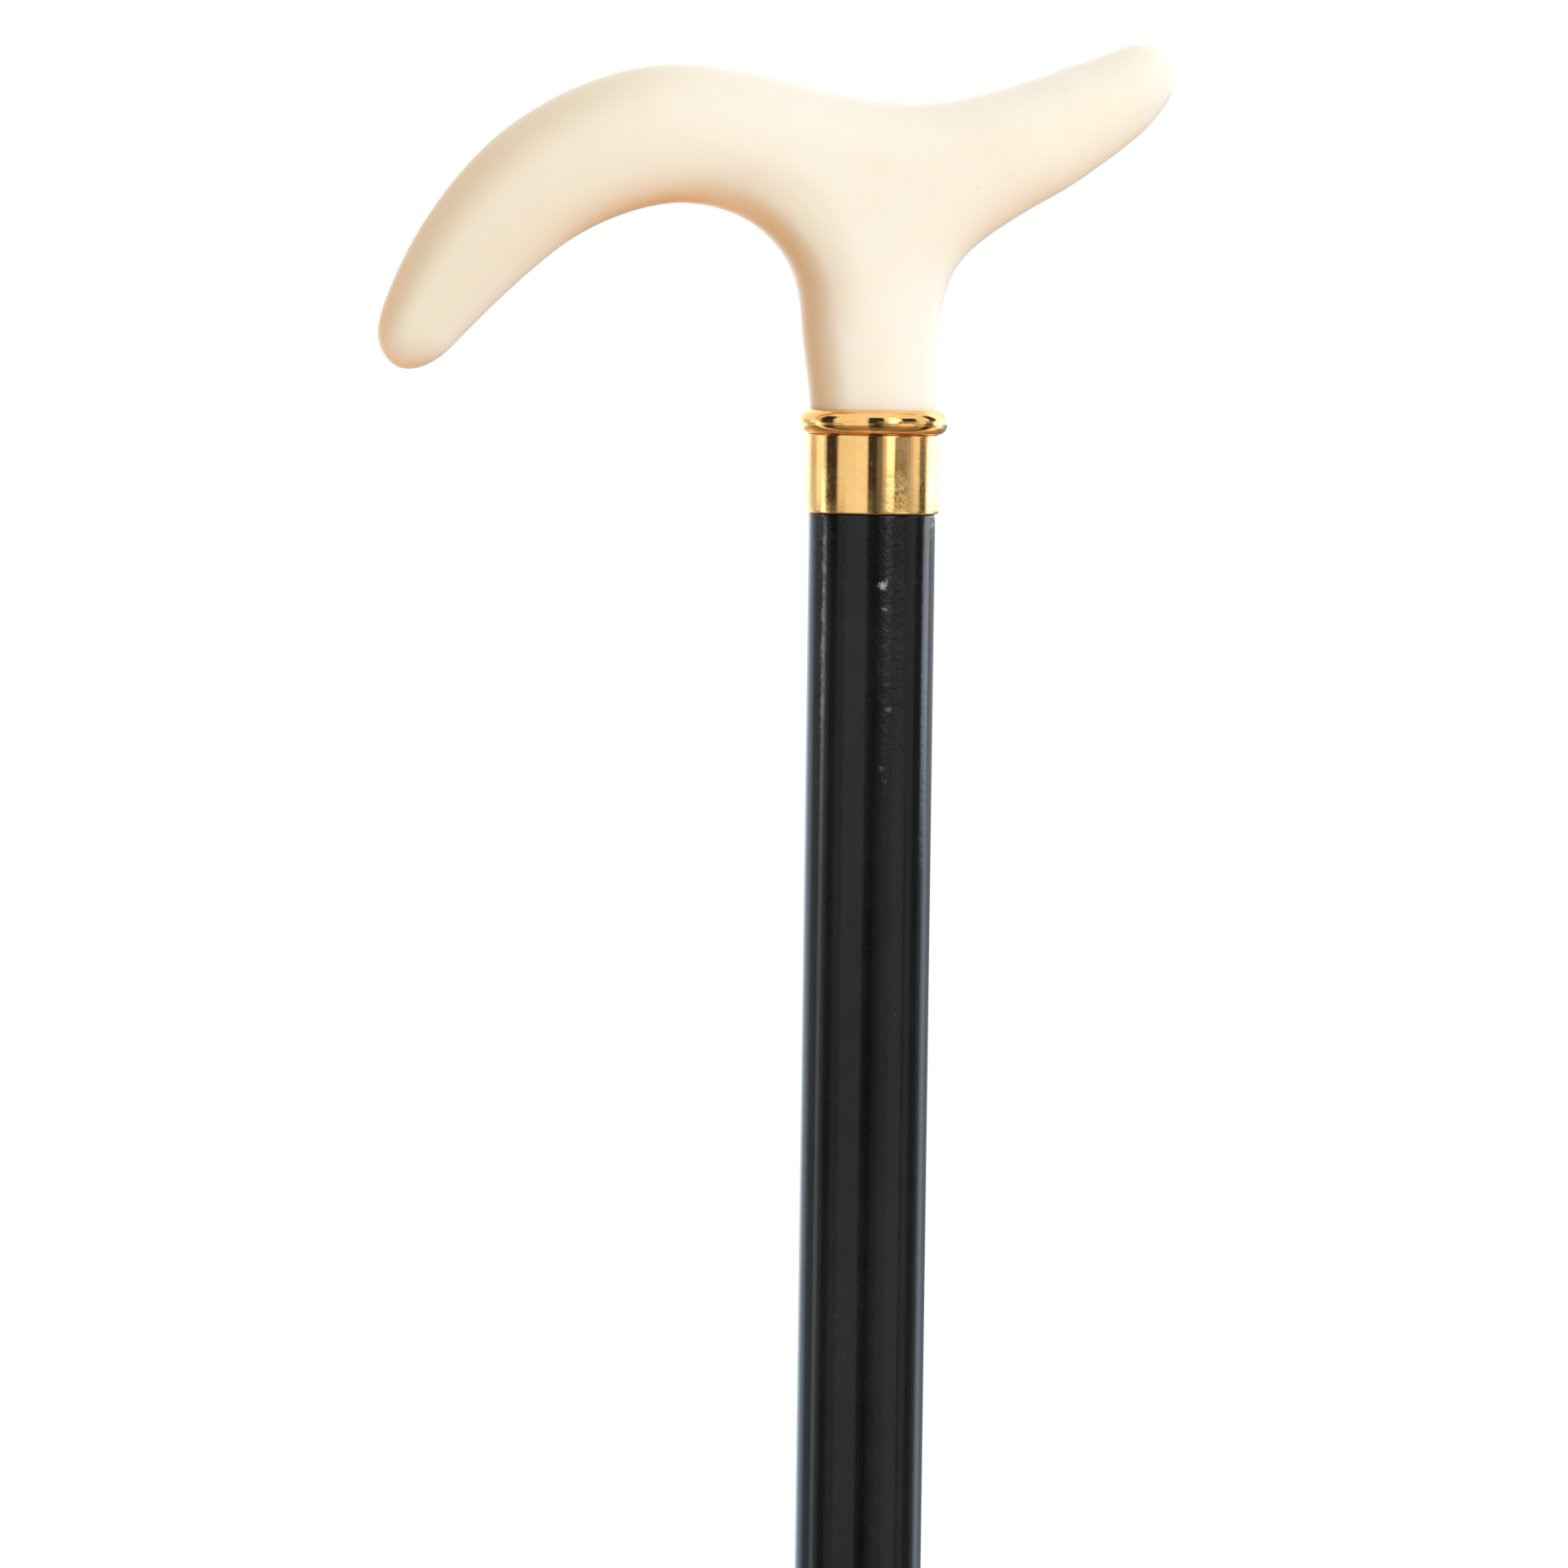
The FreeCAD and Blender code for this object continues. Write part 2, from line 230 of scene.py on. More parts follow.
# %% Ferrule
SOLE_BAND = 6 * MM
WAIST_Z, WAIST_R, MOUTH_R = 15 * MM, 12.3 * MM, 11.6 * MM
LIP, LIP_HEIGHT = 0.9 * MM, 3.6 * MM
SOCKET_R = TIP_R + GLUE
TREAD_DEPTH, TREAD_WIDTH = 1.6 * MM, 2.0 * MM
TREAD_SHARES = (0.66, 0.36)
GRIP_RINGS, GRIP_STEP, GRIP_WIDTH, GRIP_DEPTH = 3, 4.2 * MM, 1.6 * MM, 0.45 * MM
SOFT_EDGE, LIP_ROUND, LIP_FOOT_ROUND = 0.3 * MM, 1.1 * MM, 0.5 * MM
WAIST_ROUND, SOLE_ROUND = 6.0 * MM, 1.2 * MM
GRIP_FLOOR_ROUND, TREAD_FLOOR_ROUND = 0.15 * MM, 0.4 * MM
lip_z = ferrule_top - LIP_HEIGHT


def tube_r(z):
    """The tube narrows evenly from its waist to its rim."""
    return WAIST_R + (MOUTH_R - WAIST_R) * (z - WAIST_Z) / (lip_z - WAIST_Z)


def groove(middle, corner_at, width, depth, floor_round):
    """Four corners of a groove, from one lip down to its floor and up to the other lip."""
    high, low = middle + width / 2, middle - width / 2
    return [corner_at(high, 0, SOFT_EDGE), corner_at(high, depth, floor_round),
            corner_at(low, depth, floor_round), corner_at(low, 0, SOFT_EDGE)]


corners = [
    (0, washer_bottom, 0),
    (SOCKET_R, washer_bottom, SOFT_EDGE),
    (SOCKET_R, ferrule_top, SOFT_EDGE),
    (MOUTH_R + LIP, ferrule_top, LIP_ROUND),
    (MOUTH_R + LIP, lip_z, LIP_FOOT_ROUND),
    (MOUTH_R, lip_z, SOFT_EDGE),
]
for ring in range(GRIP_RINGS):
    ring_z = lip_z - GRIP_STEP * (ring + 1)
    corners += groove(ring_z, lambda z, deep, edge: (tube_r(z) - deep, z, edge),
                      GRIP_WIDTH, GRIP_DEPTH, GRIP_FLOOR_ROUND)
corners += [(WAIST_R, WAIST_Z, WAIST_ROUND), (ferrule_r, SOLE_BAND, SOLE_ROUND),
            (ferrule_r, sole_z, SOLE_ROUND)]
for share in TREAD_SHARES:
    corners += groove(share * ferrule_r + TREAD_WIDTH / 2, lambda r, deep, edge: (r, sole_z + deep, edge),
                      TREAD_WIDTH, TREAD_DEPTH, TREAD_FLOOR_ROUND)
ferrule = turned_piece("rubber_ferrule", corners + [(0, sole_z, 0)])
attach(ferrule, "ferrule")
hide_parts("ferrule")

# %% [markdown]
# The handle has no straight line in it, so it is drawn as a maker draws it: an outline from the
# side, and a thickness along it. Between the outline and a ridge in the middle of each limb runs a
# skin whose section is a quarter of an ellipse. The skins meet at equal slopes, so the surface
# flows from the nose over the saddle to the tail and down the neck, and where the three limbs part
# a flat cheek fills the last gap.

# %% Handle outline
NOSE_REACH, TAIL_REACH, HANDLE_RISE = 78.0 * MM, 46.8 * MM, 58.0 * MM
NECK_R, SADDLE_HALF = 9.9 * MM, 11.4 * MM
RIDGE_FAN = 6.0
NECK_SLOPE_SHARE = 0.10
ROUND_SHARE = 4 / 3 * math.tan(math.pi / 8)
# Each row is x and z in shares of the reach and the rise, the heading in degrees, and the pace
nose_top_shares = [(-0.396, 0.929, 178.0, 1.07), (-0.787, 0.703, 224.5, 1.23),
                   (-0.992, 0.257, 252.0, 1.06), (-0.968, 0.104, 325.5, 0.0)]
nose_under_shares = [(-0.390, 0.552, 180.0, 0.64), (-0.637, 0.426, 218.0, 0.75),
                     (-0.850, 0.155, 227.0, 0.91), (-0.968, 0.104, 145.5, 0.0)]
tail_top_shares = [(0.274, 0.843, 13.0, 0.95), (0.603, 0.924, 23.0, 1.03),
                   (0.810, 0.986, 24.5, 1.42), (0.998, 0.917, 273.0, 0.0)]
tail_under_shares = [(0.481, 0.529, 32.0, 1.14), (0.716, 0.647, 36.5, 1.06),
                     (0.927, 0.791, 54.0, 0.74), (0.998, 0.917, 93.0, 0.0)]
neck_left_shares = [(-1.00, 0.0, 95.0, 1.10), (-1.17, 0.25, 92.0, 0.88)]
neck_right_shares = [(1.00, 0.0, 86.0, 0.60), (1.06, 0.245, 83.5, 0.70)]
nose_half_shares = [(1.0, 0.0), (0.91, -0.07), (0.68, -0.13), (0.0, 0.0)]
tail_half_shares = [(1.0, 0.0), (0.85, -0.16), (0.65, -0.22), (0.0, 0.0)]


def heading_vector(degrees):
    """A step of one along a heading: x is its cosine and z is its sine."""
    return np.array([math.cos(math.radians(degrees)), math.sin(math.radians(degrees))])


def place_and_pull(row, reach):
    """A turn of the outline: its place, and its direction times its pace."""
    x, z, heading, pace = row
    return np.array([x * reach, z * HANDLE_RISE]), heading_vector(heading) * pace


def turn_by(vector, degrees):
    """x and z turned by an angle: the usual sums of cosine and sine."""
    c, s = math.cos(math.radians(degrees)), math.sin(math.radians(degrees))
    return np.array([vector[0] * c - vector[1] * s, vector[0] * s + vector[1] * c])


def cubic(start, out, end, into, span):
    """Four poles: the inner two lie a third of the span along each pull."""
    return np.array([start, start + out * span / 3, end - into * span / 3, end])


def on_cubic(poles, t):
    """The cubic Bernstein sum of four poles at every t."""
    b = np.stack([(1 - t) ** 3, 3 * t * (1 - t) ** 2, 3 * t * t * (1 - t), t ** 3], axis=-1)
    return b @ np.asarray(poles)


# %% [markdown]
# A limb is one row of skins above its middle line and one row below. Its middle line is halfway
# between the two outlines, and its last skins close in a rounded tip.

# %% Skins of the limbs
ALONG, AROUND = 11, 9
t_along = np.linspace(0, 1, ALONG)
t_around = np.linspace(0, math.pi / 2, AROUND)


def quarter_skin(rim, ridge, half, t=t_along):
    """x and z go from the rim to the ridge with the cosine of the angle, y grows with its sine."""
    outer, inner = on_cubic(rim, t)[:, None], on_cubic(ridge, t)[:, None]
    thick = on_cubic(half, t)[:, None]
    flat = inner + (outer - inner) * np.cos(t_around)[None, :, None]
    return np.stack([flat[..., 0], thick * np.sin(t_around), flat[..., 1]], axis=-1)


def limb(top_rows, under_rows, half_rows, reach):
    """The skins of the nose or the tail, with the middle line's first place and pull."""
    tops = [place_and_pull(row, reach) for row in top_rows]
    unders = [place_and_pull(row, reach) for row in under_rows]
    mids = [(a[0] + b[0]) / 2 for a, b in zip(tops, unders)]
    skins = []
    for i in range(len(tops) - 1):
        span = np.linalg.norm(mids[i + 1] - mids[i])
        thick, slope = half_rows[i][0] * SADDLE_HALF, half_rows[i][1]
        if i < len(tops) - 2:
            top, under = cubic(*tops[i], *tops[i + 1], span), cubic(*unders[i], *unders[i + 1], span)
            next_thick, next_slope = half_rows[i + 1][0] * SADDLE_HALF, half_rows[i + 1][1]
            half = [thick, thick + slope * span / 3, next_thick - next_slope * span / 3, next_thick]
        else:
            span *= math.pi / 2
            hold = np.linalg.norm(tops[i][0] - unders[i][0]) / 2 * ROUND_SHARE
            tip = tops[i + 1][0]
            top, under = [np.array([rows[i][0], rows[i][0] + rows[i][1] * span / 3,
                                    tip - heading_vector(end[2]) * hold, tip])
                          for rows, end in ((tops, top_rows[-1]), (unders, under_rows[-1]))]
            half = [thick, thick + slope * span / 3, thick * ROUND_SHARE, 0]
        spine = (top + under) / 2
        skins += [quarter_skin(top, spine, half), quarter_skin(under, spine, half)]
    return skins, mids[0], (tops[0][1] + unders[0][1]) / 2


nose, nose_mid, nose_pull = limb(nose_top_shares, nose_under_shares, nose_half_shares, NOSE_REACH)
tail, tail_mid, tail_pull = limb(tail_top_shares, tail_under_shares, tail_half_shares, TAIL_REACH)
print("nose middle", nose_mid.round(4), "tail middle", tail_mid.round(4))

# %% [markdown]
# The neck rises from the round collar and opens into the two arches under the nose and the tail.
# Three more skins run from limb to limb: one over the saddle and one in each arch. Their ridges
# bound the cheek. It is a sheet of short rungs, from the two lower ridges taken as one line up to
# the ridge under the saddle, so that no rung leaves the cheek in its narrow corners.

# %% Neck, arches, saddle and cheeks
RUNGS_DEEP = 6
left = [place_and_pull(row, NECK_R) for row in neck_left_shares]
right = [place_and_pull(row, NECK_R) for row in neck_right_shares]
neck_mid, neck_pull = (left[1][0] + right[1][0]) / 2, (left[1][1] + right[1][1]) / 2
neck_span = np.linalg.norm(neck_mid)
neck_sides = [cubic(*left[0], *left[1], neck_span), cubic(*right[0], *right[1], neck_span)]
neck_half = [NECK_R, NECK_R * (1 + NECK_SLOPE_SHARE), SADDLE_HALF, SADDLE_HALF]
neck = [quarter_skin(side, sum(neck_sides) / 2, neck_half) for side in neck_sides]

flat = [SADDLE_HALF] * 4
nose_top, nose_under = [place_and_pull(rows[0], NOSE_REACH) for rows in (nose_top_shares, nose_under_shares)]
tail_top, tail_under = [place_and_pull(rows[0], TAIL_REACH) for rows in (tail_top_shares, tail_under_shares)]
to_nose, to_tail = np.linalg.norm(nose_mid - neck_mid), np.linalg.norm(tail_mid - neck_mid)
across = np.linalg.norm(tail_mid - nose_mid)
ridges = [
    cubic(neck_mid, turn_by(neck_pull, RIDGE_FAN), nose_mid, turn_by(nose_pull, -RIDGE_FAN), to_nose),
    cubic(nose_mid, -turn_by(nose_pull, RIDGE_FAN), tail_mid, turn_by(tail_pull, -RIDGE_FAN), across),
    cubic(neck_mid, turn_by(neck_pull, -RIDGE_FAN), tail_mid, turn_by(tail_pull, RIDGE_FAN), to_tail),
]
rims = [
    cubic(*left[1], *nose_under, to_nose),
    cubic(nose_top[0], -nose_top[1], *tail_top, across),
    cubic(*right[1], *tail_under, to_tail),
]
t_saddle = np.linspace(0, 1, 2 * ALONG - 1)
junction = [quarter_skin(rim, ridge, flat, t_saddle if i == 1 else t_along)
            for i, (rim, ridge) in enumerate(zip(rims, ridges))]
below = np.vstack([on_cubic(ridges[0], t_along)[::-1], on_cubic(ridges[2], t_along)[1:]])
above = on_cubic(ridges[1], t_saddle)
rung = np.linspace(0, 1, RUNGS_DEEP + 1)[None, :, None]
cheek = below[:, None] + (above - below)[:, None] * rung
cheek_mid = cheek.reshape(-1, 2).mean(axis=0)
cheek = np.stack([cheek[..., 0], np.full(cheek.shape[:2], SADDLE_HALF), cheek[..., 1]], axis=-1)

# %% [markdown]
# Below the neck the resin goes on as a spigot inside the collar, bored for the brass bush and the
# stud. The halves are mirrored, everything is joined, and the cheeks get a crown of a few tenths
# of a millimetre, as a hand-sanded surface has. A subdivision surface evens out the steps between
# the skins, and creases keep the foot of the neck square on the bead. Last, the thickness alone is
# smoothed, as sanding does, which leaves the outline where it is.

# %% Handle
CROWN, CROWN_REACH = 0.03, 20 * MM
HANDLE_LEVELS = 2
SANDING_FROM, SANDING_TO, SANDING_ROUNDS, SANDING_STEPS = 3 * MM, 12 * MM, 40, 10
SANDING_FACTOR, NEARLY = 0.5, 0.01 * MM
HANDLE_WELD, HANDLE_SHARP = 2e-6, math.radians(60)
skins = [(grid, False) for grid in nose + tail + neck + junction + [cheek]]
mirrored = [(grid * np.array([1, -1, 1]), closed) for grid, closed in skins]
foot_z, bottom_z = 0.0, spigot_bottom - collar_top
spigot_r = bore_r - GLUE
bore = np.array([
    (NECK_R, foot_z), (spigot_r, foot_z), (spigot_r, bottom_z), (bush_bore_r, bottom_z),
    (bush_bore_r, bush_top - collar_top), (stud_bore_r, bush_top - collar_top),
    (stud_bore_r, stud_top + STUD_END_ROOM - collar_top), (0, stud_top + STUD_END_ROOM - collar_top),
])
spigot = (lathe(bore, 4 * (AROUND - 1)), True)
handle = mesh_from_grids("resin_handle", skins + mirrored + [spigot], HANDLE_WELD, HANDLE_SHARP)
count = len(handle.data.vertices)
place = np.empty(count * 3)
handle.data.vertices.foreach_get("co", place)
place = place.reshape(-1, 3)
near = ((place[:, 0] - cheek_mid[0]) ** 2 + (place[:, 2] - cheek_mid[1]) ** 2) / CROWN_REACH ** 2
place[:, 1] *= 1 + CROWN * np.exp(-near) * (place[:, 2] > foot_z)
pairs = np.empty(len(handle.data.edges) * 2, int)
handle.data.edges.foreach_get("vertices", pairs)
inner = place[:, 2] < foot_z + NEARLY
inner |= np.hypot(place[:, 0], place[:, 1]) < bush_bore_r + NEARLY
held = inner[pairs.reshape(-1, 2)].all(axis=1)
crease = handle.data.attributes.new("crease_edge", "FLOAT", "EDGE")
crease.data.foreach_set("value", held.astype(float))
sanding = np.clip((place[:, 2] - SANDING_FROM) / (SANDING_TO - SANDING_FROM), 0, 1)
above_foot = handle.vertex_groups.new(name="above_foot")
for step in range(SANDING_STEPS + 1):
    chosen = np.flatnonzero(np.round(sanding * SANDING_STEPS) == step)
    above_foot.add(chosen.tolist(), step / SANDING_STEPS, "REPLACE")
place[:, 2] += collar_top
handle.data.vertices.foreach_set("co", place.ravel())
even = handle.modifiers.new("even", "SUBSURF")
even.levels = even.render_levels = HANDLE_LEVELS
sanded = handle.modifiers.new("sanded", "SMOOTH")
sanded.factor, sanded.iterations = SANDING_FACTOR, SANDING_ROUNDS
sanded.vertex_group = "above_foot"
sanded.use_x = sanded.use_z = False
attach(handle, "stick")
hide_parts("handle")
print("creased edges", int(held.sum()))

# %% [markdown]
# Materials are built from nodes, and every pattern reads the object's own coordinates in metres, so
# a speck of a given size is that size on every piece. Small helpers keep the node code short: one
# adds a node and fills its sockets, some work on masks, places and directions, and the last two open
# a group with named inputs and outputs and place it in a material.

# %% Node helpers
def spaced(values):
    """Socket names with spaces, from the underscores that Python wants."""
    return {name.replace("_", " "): value for name, value in values.items()}


def fill(tree, made, sockets):
    """Give a node's sockets plain values, or a link where the value is another socket."""
    for name, value in sockets.items():
        if isinstance(value, bpy.types.NodeSocket):
            tree.links.new(value, made.inputs[name])
        else:
            made.inputs[name].default_value = value


def add(tree, kind, sockets=None, **switches):
    """A node of one kind, with its switches set and its sockets filled."""
    made = tree.nodes.new("ShaderNode" + kind)
    for name, value in switches.items():
        setattr(made, name, value)
    fill(tree, made, sockets or {})
    return made


def maths(tree, operation, *terms, clamp=False):
    """The result of one sum, product or comparison."""
    made = add(tree, "Math", dict(enumerate(terms)), operation=operation, use_clamp=clamp)
    return made.outputs[0]


def product(tree, first, *others):
    """All the terms multiplied, from left to right."""
    for other in others:
        first = maths(tree, "MULTIPLY", first, other)
    return first


def layered(tree, base, *layers):
    """A base value plus each mask times its amount."""
    for mask, amount in layers:
        base = maths(tree, "MULTIPLY_ADD", mask, amount, base)
    return base


def spread(tree, value, low, high, to_low=0.0, to_high=1.0):
    """Carry low..high smoothly onto another range, flat outside it."""
    made = add(tree, "MapRange", {"Value": value, "From Min": low, "From Max": high,
                                  "To Min": to_low, "To Max": to_high}, interpolation_type="SMOOTHSTEP")
    return made.outputs["Result"]


def noise(tree, vector, scale, detail, roughness=0.5):
    """The grey of a noise: it wanders about one half, with so many patches to the metre."""
    made = add(tree, "TexNoise", {"Vector": vector, "Scale": scale, "Detail": detail,
                                  "Roughness": roughness})
    return made.outputs["Fac"]


def axes(tree, vector):
    """The X, Y and Z of a vector, each by its name."""
    return add(tree, "SeparateXYZ", {"Vector": vector}).outputs


def from_axis(tree, where):
    """The distance from the Z axis: the root of x squared plus y squared."""
    x, y = where["X"], where["Y"]
    return maths(tree, "SQRT", maths(tree, "ADD", product(tree, x, x), product(tree, y, y)))


def towards(tree, facing, direction):
    """How far one direction agrees with another: their dot product, which is 1 when they are alike."""
    made = add(tree, "VectorMath", {0: facing, 1: direction}, operation="DOT_PRODUCT")
    return made.outputs["Value"]


def apart(tree, place, middle):
    """The distance between two places."""
    return add(tree, "VectorMath", {0: place, 1: middle}, operation="DISTANCE").outputs["Value"]


def blend_colours(tree, factor, first, second):
    """Mix two colours: sockets 0, 6 and 7 of a Mix node are its factor and its two colours."""
    return add(tree, "Mix", {0: factor, 6: first, 7: second}, data_type="RGBA").outputs[2]


def open_group(name, inputs, outputs):
    """A node group with named sockets: inputs are (name, kind, value) and outputs are (name, kind)."""
    group = bpy.data.node_groups.new(name, "ShaderNodeTree")
    for label, kind, value in inputs:
        socket = group.interface.new_socket(label, in_out="INPUT", socket_type="NodeSocket" + kind)
        if value is not None:
            socket.default_value = value
    for label, kind in outputs:
        group.interface.new_socket(label, in_out="OUTPUT", socket_type="NodeSocket" + kind)
    given, result = group.nodes.new("NodeGroupInput"), group.nodes.new("NodeGroupOutput")
    return group, given.outputs, result.inputs


def place_group(tree, group, vector, **values):
    """The result of one copy of a group in a material, with its own values."""
    made = tree.nodes.new("ShaderNodeGroup")
    made.node_tree = group
    fill(tree, made, {"Vector": vector} | spaced(values))
    return made.outputs[0]


# %% [markdown]
# Four effects appear on more than one material, so each is a group: soft clouds of colour, fine
# hairlines from wiping and handling, specks of dust, and the rings that a lathe tool leaves.

# %% Shared effects
MIDDLE_GREY, FINE_TIMES, FINE_SHARE, BROAD_SHARE = 0.5, 4.3, 0.35, 0.65
soft_clouds, given, result = open_group("soft_clouds", [
    ("Vector", "Vector", None), ("Patches per metre", "Float", 60.0), ("Softness", "Float", 0.2),
], [("Mask", "Float")])
broad = noise(soft_clouds, given["Vector"], given["Patches per metre"], 3.0, 0.55)
fine_scale = product(soft_clouds, given["Patches per metre"], FINE_TIMES)
fine = noise(soft_clouds, given["Vector"], fine_scale, 3.0)
both = layered(soft_clouds, product(soft_clouds, broad, BROAD_SHARE), (fine, FINE_SHARE))
low = maths(soft_clouds, "SUBTRACT", MIDDLE_GREY, given["Softness"])
high = maths(soft_clouds, "ADD", MIDDLE_GREY, given["Softness"])
soft_clouds.links.new(spread(soft_clouds, both, low, high), result["Mask"])

# The lines run three ways: each wipe is a tilt and a turn of the coordinates, which are then drawn out
WIPES, DRAWN_OUT = ((0.1, 0.3), (-0.35, 1.9), (0.9, 4.4)), (1.0, 1.0, 0.006)
LINE_EDGE, WIPED_PATCHES, WIPED_PART = 0.06, 70.0, (0.48, 0.6)
hairlines, given, result = open_group("hairlines", [
    ("Vector", "Vector", None), ("Lines per metre", "Float", 3000.0), ("Cut", "Float", 0.66),
    ("Amount", "Float", 0.5),
], [("Mask", "Float")])
masks = []
for tilt, turn in WIPES:
    turned = add(hairlines, "Mapping", {"Vector": given["Vector"], "Rotation": (tilt, 0.4 * tilt, turn)})
    drawn = add(hairlines, "Mapping", {"Vector": turned.outputs[0], "Scale": DRAWN_OUT})
    line = noise(hairlines, drawn.outputs[0], given["Lines per metre"], 0.0)
    line = spread(hairlines, line, given["Cut"], maths(hairlines, "ADD", given["Cut"], LINE_EDGE))
    patch = noise(hairlines, turned.outputs[0], WIPED_PATCHES, 2.0)
    masks.append(product(hairlines, line, spread(hairlines, patch, *WIPED_PART)))
total = maths(hairlines, "MAXIMUM", maths(hairlines, "MAXIMUM", masks[0], masks[1]), masks[2])
hairlines.links.new(product(hairlines, total, given["Amount"]), result["Mask"])

# A high power of chance makes most specks small and a few of them large
RARITY, SPECK_EDGE = 3.0, 0.3
dust, given, result = open_group("dust", [
    ("Vector", "Vector", None), ("Cells per metre", "Float", 260.0), ("Speck", "Float", 0.05),
    ("Amount", "Float", 0.5),
], [("Mask", "Float")])
cells = add(dust, "TexVoronoi", {"Vector": given["Vector"], "Scale": given["Cells per metre"]}).outputs
chance = add(dust, "TexWhiteNoise", {"Vector": cells["Position"]}, noise_dimensions="3D").outputs["Value"]
size = product(dust, given["Speck"], maths(dust, "POWER", chance, RARITY))
inside = maths(dust, "SUBTRACT", size, cells["Distance"])
speck = spread(dust, inside, 0.0, product(dust, given["Speck"], SPECK_EDGE))
dust.links.new(product(dust, speck, given["Amount"]), result["Mask"])

lathe_rings, given, result = open_group("lathe_rings", [
    ("Vector", "Vector", None), ("Rings per metre", "Float", 9000.0),
], [("Height", "Float")])
where = axes(lathe_rings, given["Vector"])
path = maths(lathe_rings, "ADD", where["Z"], from_axis(lathe_rings, where))
rings = add(lathe_rings, "TexNoise", {"W": path, "Scale": given["Rings per metre"], "Detail": 2.0},
            noise_dimensions="1D")
lathe_rings.links.new(rings.outputs["Fac"], result["Height"])
print("groups", sorted(group.name for group in bpy.data.node_groups))


# %% [markdown]
# Every finish starts alike: one Principled shader, one set of object coordinates and one bump. The
# helper sets the plain values on the shader's own sockets, and each finish then adds what varies.

# %% A finish to start from
def new_finish(name, roughness, **plain):
    """A material with its tree, its shader and its object coordinates."""
    material = bpy.data.materials.new(name)
    material.use_nodes = True
    tree = material.node_tree
    shader = tree.nodes["Principled BSDF"]
    fill(tree, shader, {"Roughness": roughness} | spaced(plain))
    return material, tree, shader, add(tree, "TexCoord").outputs["Object"]


def paint(tree, shader, colour, roughness):
    """Give the shader a colour and a roughness that vary from place to place."""
    tree.links.new(colour, shader.inputs["Base Color"])
    tree.links.new(roughness, shader.inputs["Roughness"])


def bump(tree, shader, height, distance):
    """Raise the surface by a height that is read as a distance in metres."""
    made = add(tree, "Bump", {"Height": height, "Distance": distance, "Strength": 1.0})
    tree.links.new(made.outputs["Normal"], shader.inputs["Normal"])


def wear(piece, material):
    """Give a piece one material."""
    piece.data.materials.clear()
    piece.data.materials.append(material)


# %% [markdown]
# Cast resin in an ivory colour is slightly cloudy and lets some light in, so it glows warm where it
# is thin or turned away from the lamps. A warm amber along the narrow edges and under the curves is
# painted shade, and less of it lies on the nose. The nose is painted a darker tan as shade, deeper
# along its crest. The inside of the crook is painted tan shade, with a pale haze of it round the
# arch, and the side towards the tail is painted paler as painted light. Each of these is a mask from
# where the surface lies and the way it faces on the piece itself. Buffing to a satin gloss leaves
# faint waves and a few hairlines.

# %% Ivory resin
IVORY, IVORY_WARM = (0.935, 0.862, 0.73, 1), (0.925, 0.83, 0.67, 1)
# Besides the base ivory and the dust colour, these are painted colours: tans of painted shade for the nose,
# its crest and the crook, a paler painted light for the tail's side, and a warm amber of painted shade for
# the edges
NOSE_SHADE, CREST_SHADE = (0.868, 0.768, 0.608, 1), (0.80, 0.655, 0.455, 1)
CROOK_SHADE, TAIL_SIDE_LIGHT = (0.65, 0.47, 0.28, 1), (0.93, 0.885, 0.80, 1)
EDGE_SHADE, MOTE = (0.80, 0.36, 0.07, 1), (0.62, 0.44, 0.27, 1)
# Which way the painted shade on the nose's crest, the painted shade in the crook, the painted light on the
# tail's side and the painted edge shade underneath face
CREST, INTO_CROOK = (-0.75, 0.0, 0.66), (-0.95, 0.0, -0.3)
TAILWARDS, UNDERSIDE = (0.95, 0.0, 0.1), (-0.74, 0.0, -0.67)
# Where the painted shade on the nose, the haze of painted shade round the crook and the tail begin and end
NOSE_SHADE_X, TAIL_X = (-18 * MM, -66 * MM), (8 * MM, 24 * MM)
HAZE_X, HAZE_R, HAZE = (-30 * MM, -18 * MM), (17.5 * MM, 23 * MM), 0.24
CROOK_MIDDLE, SEEN_FROM_SIDE = (-23.8 * MM, 0.0, 876.7 * MM), (1.0, 0.0, 1.0)
ivory, tree, shader, place = new_finish("ivory_resin", 0.36, Subsurface_Weight=0.12, IOR=1.45,
                                        Subsurface_Radius=(1.0, 0.42, 0.18), Subsurface_Scale=0.002,
                                        Specular_IOR_Level=0.28)
clouds = place_group(tree, soft_clouds, place, Patches_per_metre=38.0, Softness=0.22)
motes = place_group(tree, dust, place, Cells_per_metre=230.0, Speck=0.11, Amount=0.16)
lines = place_group(tree, hairlines, place, Lines_per_metre=2600.0, Cut=0.68, Amount=0.6)
tint = blend_colours(tree, clouds, IVORY, IVORY_WARM)
along_x = axes(tree, place)["X"]
# Painted shade: the nose is coloured a darker tan towards its tip
shaded_nose = spread(tree, along_x, *NOSE_SHADE_X)
tint = blend_colours(tree, shaded_nose, tint, NOSE_SHADE)
facing = add(tree, "NewGeometry").outputs["Normal"]
# Painted shade: a deeper tan on the nose where it faces up and to the left
shaded_crest = spread(tree, towards(tree, facing, CREST), 0.15, 0.8)
tint = blend_colours(tree, product(tree, shaded_nose, shaded_crest), tint, CREST_SHADE)
